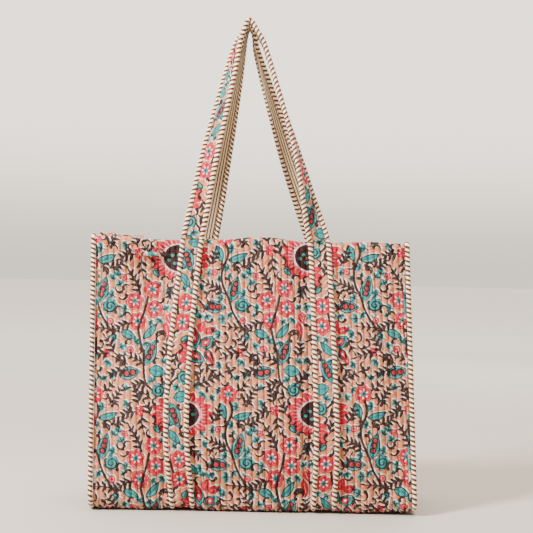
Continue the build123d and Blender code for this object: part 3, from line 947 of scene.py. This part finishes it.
def panel_point(x, s, side, inset=0.0, rise=0.0):
    """Points of a long panel (side -1 front, 1 back): x along the bag, s down the cloth, inset inwards."""
    point, normal = profile(s)
    lift = sag(x, s, side) - inset + rise
    y = point[..., 0] + normal[..., 0] * lift
    z = point[..., 1] + normal[..., 1] * lift
    z = z + settle(x, z, side)
    wide = half_length(z) / BASE_HALF_LENGTH
    across = x * wide - lean_left(z)
    return np.stack(np.broadcast_arrays(across, -side * y, z), axis=-1)


def strap_x(s, face, side):
    """Where a strap's middle is sewn on a long panel, at a distance s down from the mouth."""
    down = np.clip(np.asarray(s) / STRAIGHT, 0, 1.1)
    mouth, widest, base = STRAP_PLACES[face, side]
    low = smooth(down, 0.75, 1.1)
    spread = mouth + (widest - mouth) * np.sin(np.clip(down / 0.8, 0, 1) * pi / 2)
    return (spread + (base - widest) * low) * MM


def long_panel(side, name, material, step):
    """The front or back with its half of the base, from the facing inside the mouth to the base's middle."""
    reach = BASE_HALF_LENGTH - 0.6 * MM
    x = steps(-reach, reach, step)[None, :]
    s = steps(-RIM_RUN - FACING_DEPTH, HALF_RUN, step)[:, None]
    x, s = np.broadcast_arrays(x, s)
    plain = smooth(-s, -7 * MM, 0.5 * RIM_RUN)
    hem = 0.9 * MM * bell(s, HEM_STITCHES, 1.0 * MM)
    edge = smooth(np.abs(x), reach - 7 * MM, reach)
    under = smooth(s, ARC_END - 5 * MM, ARC_END + 10 * MM)
    rise = quilting(x, s, 3 if side < 0 else 13) * (1 - 0.6 * under) - hem
    rise = rise * (1 - 0.8 * plain) * (1 - edge) - 1.0 * MM * edge
    outer = panel_point(x, s, side, rise=rise)
    facing, mouth = 0.8 * MM, 2.0 * MM
    thick = facing + (mouth - facing) * smooth(s, -RIM_RUN, -0.5 * RIM_RUN)
    thick = thick + (WALL - mouth) * smooth(s, 0, 14 * MM)
    inner = panel_point(x, s, side, inset=thick)
    v = s / MM
    if side > 0:
        v = 2 * HALF_RUN / MM - v
    return printed_shell(name, outer, inner, x / MM, v, material, flip=side > 0)


def lining(material):
    """The lining of front, base and back: one strip, quilted through, just inside the wall."""
    x = steps(-LINING_REACH, LINING_REACH, 3 * MM)[None, :]
    s = steps(-LINING_RUN, LINING_RUN, 6 * MM)[:, None]
    x, s = np.broadcast_arrays(x, s)
    down = HALF_RUN - np.abs(s)
    rise = 0.35 * quilting(x, s, 23)
    in_front = (s < 0)[..., None]
    face, under = [
        np.where(in_front, panel_point(x, down, -1, inset), panel_point(x, down, 1, inset))
        for inset in (LINING_INSET + rise, LINING_INSET - LINING_CLOTH)
    ]
    piece, _, _ = shell("body_lining_cloth", face, under, x / MM, s / MM, material, flip=True)
    return piece


def gusset_grid(end, out, p, z):
    """Points of a gusset (end 1 right, -1 left) lifted out of its face, at p across it and level z.

    It runs from p = -1 at the front to 1 at the back, folded in about its middle."""
    share = (z - BASE_LEVEL) / (MOUTH_LEVEL - BASE_LEVEL)
    fold = np.interp(share, [at for at, _ in GUSSET_FOLDS], [deep for _, deep in GUSSET_FOLDS]) * MM
    depth = MOUTH_HALF_DEPTH + (BASE_HALF_DEPTH - MOUTH_HALF_DEPTH) * (1 - share) - WALL
    low = np.clip((z - BASE_LEVEL - WALL) / (CORNER_RADIUS - WALL), 0, 1)
    depth = depth - (CORNER_RADIUS - WALL) * (1 - np.sqrt(1 - (1 - low) ** 2))
    round_p = np.sqrt(p * p + FOLD_SOFTNESS**2)
    whole = sqrt(1 + FOLD_SOFTNESS**2) - FOLD_SOFTNESS
    inward = fold * (1 - (round_p - FOLD_SOFTNESS) / whole)
    slope = -fold * p / round_p / whole / depth
    stretch = np.sqrt(1 + slope * slope)
    x = half_length(z) - 0.5 * MM - inward + out / stretch
    limit = depth + 0.4 * MM
    y = np.clip(p * depth + slope * out / stretch, -limit, limit)
    edge_x = end * MOUTH_HALF_LENGTH
    back_share = (p + 1) / 2
    z = z + settle(edge_x, z, -1) * (1 - back_share) + settle(edge_x, z, 1) * back_share
    return np.stack([end * x - lean_left(z), y, z + 0 * x], axis=-1)


def gusset(end, name, material):
    p = steps(-1, 1, 1.6 / 75)[None, :]
    z = steps(BASE_LEVEL + WALL + 0.4 * MM, MOUTH_LEVEL - 0.5 * MM, 1.8 * MM)[::-1][:, None]
    p, z = np.broadcast_arrays(p, z)
    flat = p * GUSSET_HALF_CLOTH
    seam = smooth(np.abs(p), 0.93, 1.0)
    rise = quilting(flat, z, 31 if end > 0 else 37, height=1.2 * MM) * (1 - seam)
    outer = gusset_grid(end, rise, p, z)
    inner = gusset_grid(end, -WALL, p, z)
    print_start = (7 if end > 0 else 16) * RIB_PITCH
    u, v = (flat + print_start) / MM, (MOUTH_LEVEL - z) / MM
    return printed_shell(name, outer, inner, u, v, material, flip=end < 0)


def gusset_lining(end, name, material):
    p = steps(-0.96, 0.96, 3.2 / 75)[None, :]
    z = steps(BASE_LEVEL + WALL + 2 * MM, MOUTH_LEVEL - 2 * MM, 6 * MM)[::-1][:, None]
    p, z = np.broadcast_arrays(p, z)
    flat = p * GUSSET_HALF_CLOTH
    face = gusset_grid(end, -LINING_INSET - 0.35 * quilting(flat, z, 71), p, z)
    under = gusset_grid(end, LINING_CLOTH - LINING_INSET, p, z)
    piece, _, _ = shell(name, face, under, flat / MM, (MOUTH_LEVEL - z) / MM, material, flip=end > 0)
    return piece


# ---- Piping and straps


def along(points):
    """Distance along a line of points."""
    return np.concatenate([[0], np.cumsum(np.linalg.norm(np.diff(points, axis=0), axis=1))])


def unit(vectors):
    return vectors / np.linalg.norm(vectors, axis=-1, keepdims=True)


def along_part(vectors, axes):
    """The part of each vector that lies along its unit axis."""
    return axes * (vectors * axes).sum(1, keepdims=True)


def even(line, *others):
    """The line and its companions again, at even steps along the line."""
    run = along(line)
    at = np.linspace(0, run[-1], int(round(run[-1] / PIPING_STEP)) + 1)
    lines = (line, *others)
    return [np.stack([np.interp(at, run, column) for column in values.T], axis=1) for values in lines]


def seam_piping(end, name, material):
    """The piping in a side seam: over the mouth's corner, down the front, under the base and up the back."""
    sunk, curl_radius = 1.4 * MM, 4.5 * MM
    point, normal = profile(np.arange(2 * MM, HALF_RUN, 1.5 * MM))
    face = point - normal * sunk
    curl = np.linspace(pi, 0, 9)[:-1]
    over = face[0] + curl_radius * np.stack([1 - np.cos(curl), np.sin(curl)], axis=1)
    front = np.concatenate([over, face])
    back = front[::-1] * np.array([-1, 1])
    for half, side in ((front, -1), (back, 1)):
        half[:, 1] += settle(end * MOUTH_HALF_LENGTH, half[:, 1], side)
    y, z = np.concatenate([front, back]).T
    x = end * (half_length(z) + PIPING_WIDTH - 1.2 * MM) - lean_left(z)
    (line,) = even(np.stack([x, y, z], axis=1))
    ahead = unit(np.gradient(line, axis=0))
    across = unit(np.array([1.0, 0, 0]) - ahead * ahead[:, :1])
    out = np.cross(across, ahead)
    return tube(name, line, across, out, SEWN_PIPING_WIDTH, 3.5 * MM, along(line) / MM, material)


def handle_leg(face, side, share):
    """The middle of a handle's leg, at shares of its way from the hinge to the hook.

    Gives the points, and by how many degrees the leg has turned edge-on at each."""
    hook_level = APEX_LEVEL - TURN_RADIUS - 0.5 * PIPING_HEIGHT
    foot = strap_x(0.0, face, side) * MOUTH_HALF_LENGTH / BASE_HALF_LENGTH
    slope = atan2(abs(foot), hook_level - HINGE_LEVEL)
    top_x, top_z = side * TURN_RADIUS * cos(slope), hook_level + TURN_RADIUS * sin(slope)
    bow = side * BOW[face, side] * MM * smooth(share, 0, 0.45) * smooth(1 - share, 0, 0.1)
    x = foot + (top_x - foot) * share + bow
    ease = (np.sqrt(share**2 + FOOT_EASE**2) - FOOT_EASE) / (sqrt(1 + FOOT_EASE**2) - FOOT_EASE)
    foot_y = HINGE_Y - PIPING_HEIGHT
    y = face * (foot_y + (HOOK_Y - foot_y) * ease)
    z = HINGE_LEVEL + (top_z - HINGE_LEVEL) * share
    twist = np.interp(share, TWIST_AT, (FRONT_TWIST if face < 0 else BACK_TWIST)[side])
    return np.stack([x, y, z], axis=1), twist


def box_mean(values, reach):
    """Values smoothed along their line over reach neighbours each way, ends kept."""
    result = values.copy()
    count, width = len(values), 2 * reach + 1
    result[reach:-reach] = sum(values[k : count - width + 1 + k] for k in range(width)) / width
    return result


def sewn_part(face, side):
    """A strap sewn to its panel, from the base's middle up: its middle, across it to the right, and out."""
    s = np.arange(HALF_RUN, 0, -1.5 * MM)
    height = PIPING_HEIGHT + 0.6 * MM - 1.8 * MM * smooth(s, STRAIGHT - 10 * MM, ARC_END)
    x = strap_x(s, face, side)
    middle = panel_point(x, s, face, rise=height)
    right = panel_point(x + 6 * MM, s, face, rise=height) - panel_point(x - 6 * MM, s, face, rise=height)
    above = panel_point(x, s, face, rise=height + MM) - middle
    return middle, unit(right), unit(above)


def free_part(face, side):
    """A strap's leg above the mouth: its middle, across it (to the right while flat) and out of its print."""
    middle, twist = handle_leg(face, side, np.linspace(0.03, 1, 70))
    middle[:, 0] -= lean_left(middle[:, 2])
    ahead = unit(np.gradient(middle, axis=0))
    outward = np.array([0, float(face), 0])
    flat = unit(outward - ahead * ahead[:, 1:2] * face)
    sideways = unit(np.cross(ahead, np.array([0, 1.0, 0])))
    sideways = sideways * np.sign(sideways[:, :1]) * side
    turn = np.radians(twist)[:, None]
    out = flat * np.cos(turn) + sideways * np.sin(turn)
    right = np.cross(ahead, out) * face
    return middle, right, out


def over_hook(left_top, right_top, face):
    """The strap's turn over the hook, between the tops of its legs."""
    middle = (left_top + right_top) / 2
    reach = (right_top[0] - left_top[0]) / 2
    angle = np.linspace(pi, 0, 15)[1:-1]
    out = np.stack([np.cos(angle), 0 * angle, np.sin(angle)], axis=1)
    across = np.tile([0, -float(face), 0], (len(angle), 1))
    return middle + reach * out, across, out


def strap_line(face):
    """A strap's middle line from the base, up the left, over the hook and down the right, at even steps.

    Gives the line, and at each point the directions across the strap and out of its printed face."""
    left, right = sewn_part(face, -1), sewn_part(face, 1)
    left_leg, right_leg = free_part(face, -1), free_part(face, 1)
    crown = over_hook(left_leg[0][-1], right_leg[0][-1], face)
    # Across points to the right going up, so to the left coming down again
    rising = [np.concatenate(pair) for pair in zip(left, left_leg)]
    falling = [np.concatenate(pair)[::-1] for pair in zip(right, right_leg)]
    falling[1] = -falling[1]
    line, across, out = even(*[np.concatenate(three) for three in zip(rising, crown, falling)])
    for _ in range(3):
        line, across, out = box_mean(line, 3), box_mean(across, 8), box_mean(out, 8)
    ahead = unit(np.gradient(line, axis=0))
    out = unit(out - along_part(out, ahead))
    across = unit(across - along_part(across, ahead) - along_part(across, out))
    return line, across, out


def strap_face(side, run):
    """Heights of the printed layer's upper and lower face above the strap's middle, quilted on top."""
    return 0.5 * MM + 0.9 * quilting(side, run, STRAP_SEED, STRAP_RIB_HEIGHT), -0.6 * MM + 0 * side


def strap_backing(side, run):
    """The same for the striped lining, quilted underneath."""
    return -0.7 * MM + 0 * side, -1.9 * MM - 0.25 * quilting(side, run, STRAP_SEED, STRAP_RIB_HEIGHT)


def strap_layer(name, route, half_wide, heights, material):
    """One flat layer of a strap along its route, with its faces at the heights given by a function."""
    w = steps(-1, 1, 0.11)[None, :]
    rows = (len(half_wide) - 1) // COARSE * COARSE + 1
    line, across, out = [values[:rows, None] for values in route]
    run = along(route[0])[:rows, None] + 0 * w
    side = half_wide[:rows, None] * w
    face, under = [line + across * side[..., None] + out * high[..., None] for high in heights(side, run)]
    return shell(name, face, under, side / MM, run / MM, material)


def strap(side, prefix, materials):
    """A whole strap with its handle: printed face, striped lining and two pipings."""
    route = line, across, out = strap_line(side)
    level = line[:, 2]
    piping_place = (14.6 - 1.4 * smooth(level, 0.1, 0.36)) * MM
    free = smooth(level, MOUTH_LEVEL - 10 * MM, MOUTH_LEVEL + 60 * MM)
    half_piping = SEWN_PIPING_WIDTH + (PIPING_WIDTH - SEWN_PIPING_WIDTH) * free
    web = piping_place - 1.2 * MM
    face, u, v = strap_layer(f"{prefix}_strap_print", route, web, strap_face, materials["print"])
    start_u, start_v = STRAP_PRINT_START[side]
    add_inks(face, u + start_u, v + start_v)
    back, _, _ = strap_layer(f"{prefix}_strap_lining", route, web, strap_backing, materials["strap_lining"])
    pieces = [face, back]
    for edge, sign in (("left", -1), ("right", 1)):
        centre = line + across * (sign * piping_place)[:, None]
        section = (half_piping, PIPING_HEIGHT, along(centre) / MM)
        name = f"{prefix}_strap_{edge}_piping"
        pieces.append(tube(name, centre, across, out, *section, materials["stripe"]))
    return pieces


# ---- Making and joining the pieces


def make_bag(materials):
    front = long_panel(-1, "front_quilt", materials["print"], 1.15 * MM)
    back = long_panel(1, "back_quilt", materials["print"], 1.4 * MM)
    for piece in (front, back):
        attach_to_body(piece, "bag")
        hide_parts("body_print", "body_wadding", "mouth_facing")
    inside = lining(materials["lining"])
    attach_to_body(inside, "bag")
    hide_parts("body_lining")
    for end, side in ((1, "right"), (-1, "left")):
        wall = gusset(end, f"{side}_gusset_quilt", materials["print"])
        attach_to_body(wall, "bag")
        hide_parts(f"{side}_gusset_print", f"{side}_gusset_wadding")
        cloth = gusset_lining(end, f"{side}_gusset_lining_cloth", materials["lining"])
        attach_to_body(cloth, "bag")
        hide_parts(f"{side}_gusset_lining")
        seam = seam_piping(end, f"{side}_seam_welt", materials["stripe"])
        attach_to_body(seam, "bag")
        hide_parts(f"{side}_seam_piping", f"{side}_seam_cord")


def make_straps(materials):
    """Both straps; each bends between the bag and its handle, just above the mouth."""
    for side, name in ((-1, "front"), (1, "back")):
        handle = f"{name}_handle"
        face, back, left, right = strap(side, name, materials)
        stands_for = {
            face: ("print", ("print", "wadding")),
            back: ("lining", ("lining",)),
            left: ("piping", ("outer_piping", "outer_cord")),
            right: ("piping", ("inner_piping", "inner_cord")),
        }
        for piece, (kind, layers) in stands_for.items():
            nodes = [f"{part}_{layer}" for part in (handle, "left_band", "right_band") for layer in layers]
            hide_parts(*nodes)
            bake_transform(piece)


def make_world():
    """Pale surroundings, brightest behind the bag and paler towards the horizon in front of it."""
    world = bpy.context.scene.world or bpy.data.worlds.new("world")
    bpy.context.scene.world = world
    world.use_nodes = True
    tree = world.node_tree
    apart = tree.nodes.new("ShaderNodeSeparateXYZ")
    tree.links.new(tree.nodes.new("ShaderNodeTexCoord").outputs["Generated"], apart.inputs[0])
    _, y, z = apart.outputs
    background = tree.nodes["Background"]
    background.inputs["Color"].default_value = srgb(240, 230, 216)
    rising = calculate(tree, "MULTIPLY_ADD", between(tree, z, 0.0, 0.14), 1.4, 1.05)
    horizon = calculate(tree, "MULTIPLY", between(tree, z, 0.2, 0.0), 0.75)
    strength = calculate(tree, "MULTIPLY_ADD", between(tree, y, -0.2, 0.9), rising, 0.32)
    strength = calculate(tree, "MULTIPLY_ADD", between(tree, y, 0.25, -0.3), horizon, strength)
    strength = calculate(tree, "MULTIPLY_ADD", between(tree, z, 0.3, 0.95), 1.15, strength)
    tree.links.new(strength, background.inputs["Strength"])


def make_floor():
    """A pale floor with painted shade: darker near the bag, lighter far off."""
    bpy.ops.mesh.primitive_plane_add(size=40, location=(0, 0, CAD_BOX[0][2] - 0.5 * MM))
    floor = bpy.context.object
    floor.name = "floor"
    material = bpy.data.materials.new("floor")
    material.use_nodes = True
    tree = material.node_tree
    shader = tree.nodes["Principled BSDF"]
    reach = tree.nodes.new("ShaderNodeVectorMath")
    reach.operation = "LENGTH"
    tree.links.new(tree.nodes.new("ShaderNodeTexCoord").outputs["Object"], reach.inputs[0])
    # Painted shade: the floor's colour is darker close to the bag and pales with distance from it.
    far = between(tree, reach.outputs["Value"], 0.6, 4.0)
    colour = blend_colour(tree, far, srgb(184, 174, 162), srgb(248, 243, 236))
    tree.links.new(colour, shader.inputs["Base Color"])
    shader.inputs["Roughness"].default_value = 0.95
    floor.data.materials.append(material)


def make_lights():
    """Soft light from the left and above."""
    for name, (place, size, power) in LIGHTS.items():
        light = bpy.data.lights.new(name, "AREA")
        light.size = size
        light.energy = power
        lamp = bpy.data.objects.new(name, light)
        bpy.context.scene.collection.objects.link(lamp)
        aim(lamp, place, LIGHTS_AIM)


def aim(thing, place, target, roll=0.0):
    """Puts a light or the camera at place, looking at target, turned clockwise by roll degrees."""
    gaze = Vector(target) - Vector(place)
    turn = gaze.to_track_quat("-Z", "Y").to_matrix() @ Matrix.Rotation(radians(roll), 3, "Z")
    thing.matrix_world = Matrix.Translation(place) @ turn.to_4x4()


def make_camera():
    camera = bpy.data.objects.new("camera", bpy.data.cameras.new("camera"))
    bpy.context.scene.collection.objects.link(camera)
    place = (CAMERA_X, FRONT_Y - CAMERA_DISTANCE, CAMERA_Z)
    aim(camera, place, (CAMERA_X, 0, CAMERA_Z), CAMERA_ROLL)
    camera.data.angle = 2 * atan2(CAMERA_FIELD / 2, CAMERA_DISTANCE)
    bpy.context.scene.camera = camera


draw_flowers()
draw_leaves()
draw_sprays()
fill_gaps()
finish_tile()
MATERIALS = {
    "print": print_material(),
    "stripe": stripe_material(),
    "strap_lining": strap_lining_material(),
    "lining": bag_lining_material(),
}
make_floor()
make_world()
make_lights()
make_camera()
make_bag(MATERIALS)
make_straps(MATERIALS)
